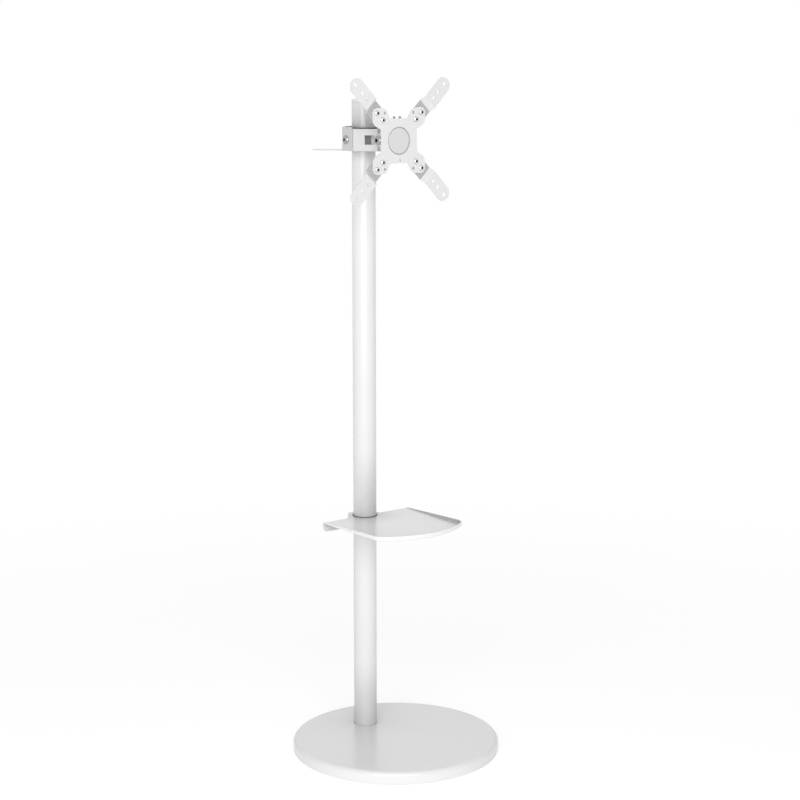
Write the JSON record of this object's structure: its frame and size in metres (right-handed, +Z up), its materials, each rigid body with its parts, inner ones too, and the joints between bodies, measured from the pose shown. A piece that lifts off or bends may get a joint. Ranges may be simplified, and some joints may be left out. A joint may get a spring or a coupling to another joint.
{
  "type": "tv stand with mount",
  "caption": "Floor stand for a flat screen: round weighted base, one pole, a clamp-on shelf, and a swivelling, tilting, turning screen plate with splayed arms.",
  "frame": {"origin": "on the floor, under the centre of the round base", "axes": "+Z up, -Y the side that the screen faces, +X to the right of someone who faces the screen"},
  "size_m": [0.388, 0.388, 1.256],
  "materials": {
    "white_powder_coat": "white powder coat, satin, fine orange-peel texture",
    "nickel_fasteners": "bright nickel-plated steel",
    "bare_steel": "plain zinc-plated steel",
    "grey_plastic": "matt moulded nylon",
    "white_plastic": "fine-textured moulded plastic",
    "black_rubber": "matt rubber"
  },
  "bodies": {
    "stand": {"base_cover": "white_powder_coat", "ballast_plate": "bare_steel", "pole_foot_flange": "bare_steel", "foot_bolt_1": "nickel_fasteners", "foot_bolt_2": "nickel_fasteners", "foot_bolt_3": "nickel_fasteners", "foot_bolt_4": "nickel_fasteners", "floor_pad_centre": "black_rubber", "floor_pad_1": "black_rubber", "floor_pad_2": "black_rubber", "floor_pad_3": "black_rubber", "floor_pad_4": "black_rubber", "floor_pad_5": "black_rubber", "floor_pad_6": "black_rubber", "pole_tube": "white_powder_coat", "pole_cap": "white_plastic"},
    "shelf_carriage": {"shelf_bush": "grey_plastic"},
    "shelf": {"shelf_tray": "white_powder_coat", "shelf_collar": "white_powder_coat", "shelf_collar_screw": "nickel_fasteners", "shelf_collar_nut": "nickel_fasteners"},
    "mount_carriage": {"mount_liner": "grey_plastic"},
    "clamp": {"clamp_yoke": "white_powder_coat", "clamp_rear": "white_powder_coat", "clamp_screw_left": "nickel_fasteners", "clamp_screw_right": "nickel_fasteners", "clamp_nut_left": "nickel_fasteners", "clamp_nut_right": "nickel_fasteners", "clamp_saddle": "grey_plastic", "nose_block": "white_plastic", "tilt_fork": "white_powder_coat", "fork_screw_lower": "nickel_fasteners", "fork_screw_upper": "nickel_fasteners", "tilt_spacer": "bare_steel"},
    "tilt_head": {"tilt_head": "white_powder_coat", "tilt_washer_left": "nickel_fasteners", "tilt_washer_right": "nickel_fasteners", "tilt_bolt": "nickel_fasteners", "tilt_nut": "nickel_fasteners", "turn_hub": "white_powder_coat", "turn_hub_screw": "nickel_fasteners"},
    "screen_plate": {"screen_plate": "white_powder_coat", "hub_retainer": "bare_steel", "turn_lock_screw": "nickel_fasteners", "screen_arm_upper_right": "white_powder_coat", "screen_arm_upper_left": "white_powder_coat", "screen_arm_lower_left": "white_powder_coat", "screen_arm_lower_right": "white_powder_coat", "arm_screw_upper_right_inner": "nickel_fasteners", "arm_screw_upper_right_outer": "nickel_fasteners", "arm_screw_upper_left_inner": "nickel_fasteners", "arm_screw_upper_left_outer": "nickel_fasteners", "arm_screw_lower_left_inner": "nickel_fasteners", "arm_screw_lower_left_outer": "nickel_fasteners", "arm_screw_lower_right_inner": "nickel_fasteners", "arm_screw_lower_right_outer": "nickel_fasteners"}
  },
  "joints": [
    {"name": "shelf_height", "type": "slide", "parent": "stand", "child": "shelf_carriage", "axis": [0, 0, 1], "range_m": [-0.3, 0.15]},
    {"name": "shelf_turn", "type": "hinge", "parent": "shelf_carriage", "child": "shelf", "pos_m": [0, 0.096, 0.435], "axis": [0, 0, 1], "range_deg": [-90, 90]},
    {"name": "mount_height", "type": "slide", "parent": "stand", "child": "mount_carriage", "axis": [0, 0, 1], "range_m": [-0.35, 0.04]},
    {"name": "mount_swivel", "type": "hinge", "parent": "mount_carriage", "child": "clamp", "pos_m": [0, 0.096, 1.144], "axis": [0, 0, 1], "range_deg": [-45, 45]},
    {"name": "screen_tilt", "type": "hinge", "parent": "clamp", "child": "tilt_head", "pos_m": [0, 0.0235, 1.144], "axis": [1, 0, 0], "range_deg": [-5, 15]},
    {"name": "screen_turn", "type": "hinge", "parent": "tilt_head", "child": "screen_plate", "pos_m": [0, -0.011, 1.144], "axis": [0, 1, 0], "range_deg": [-90, 90]}
  ]
}
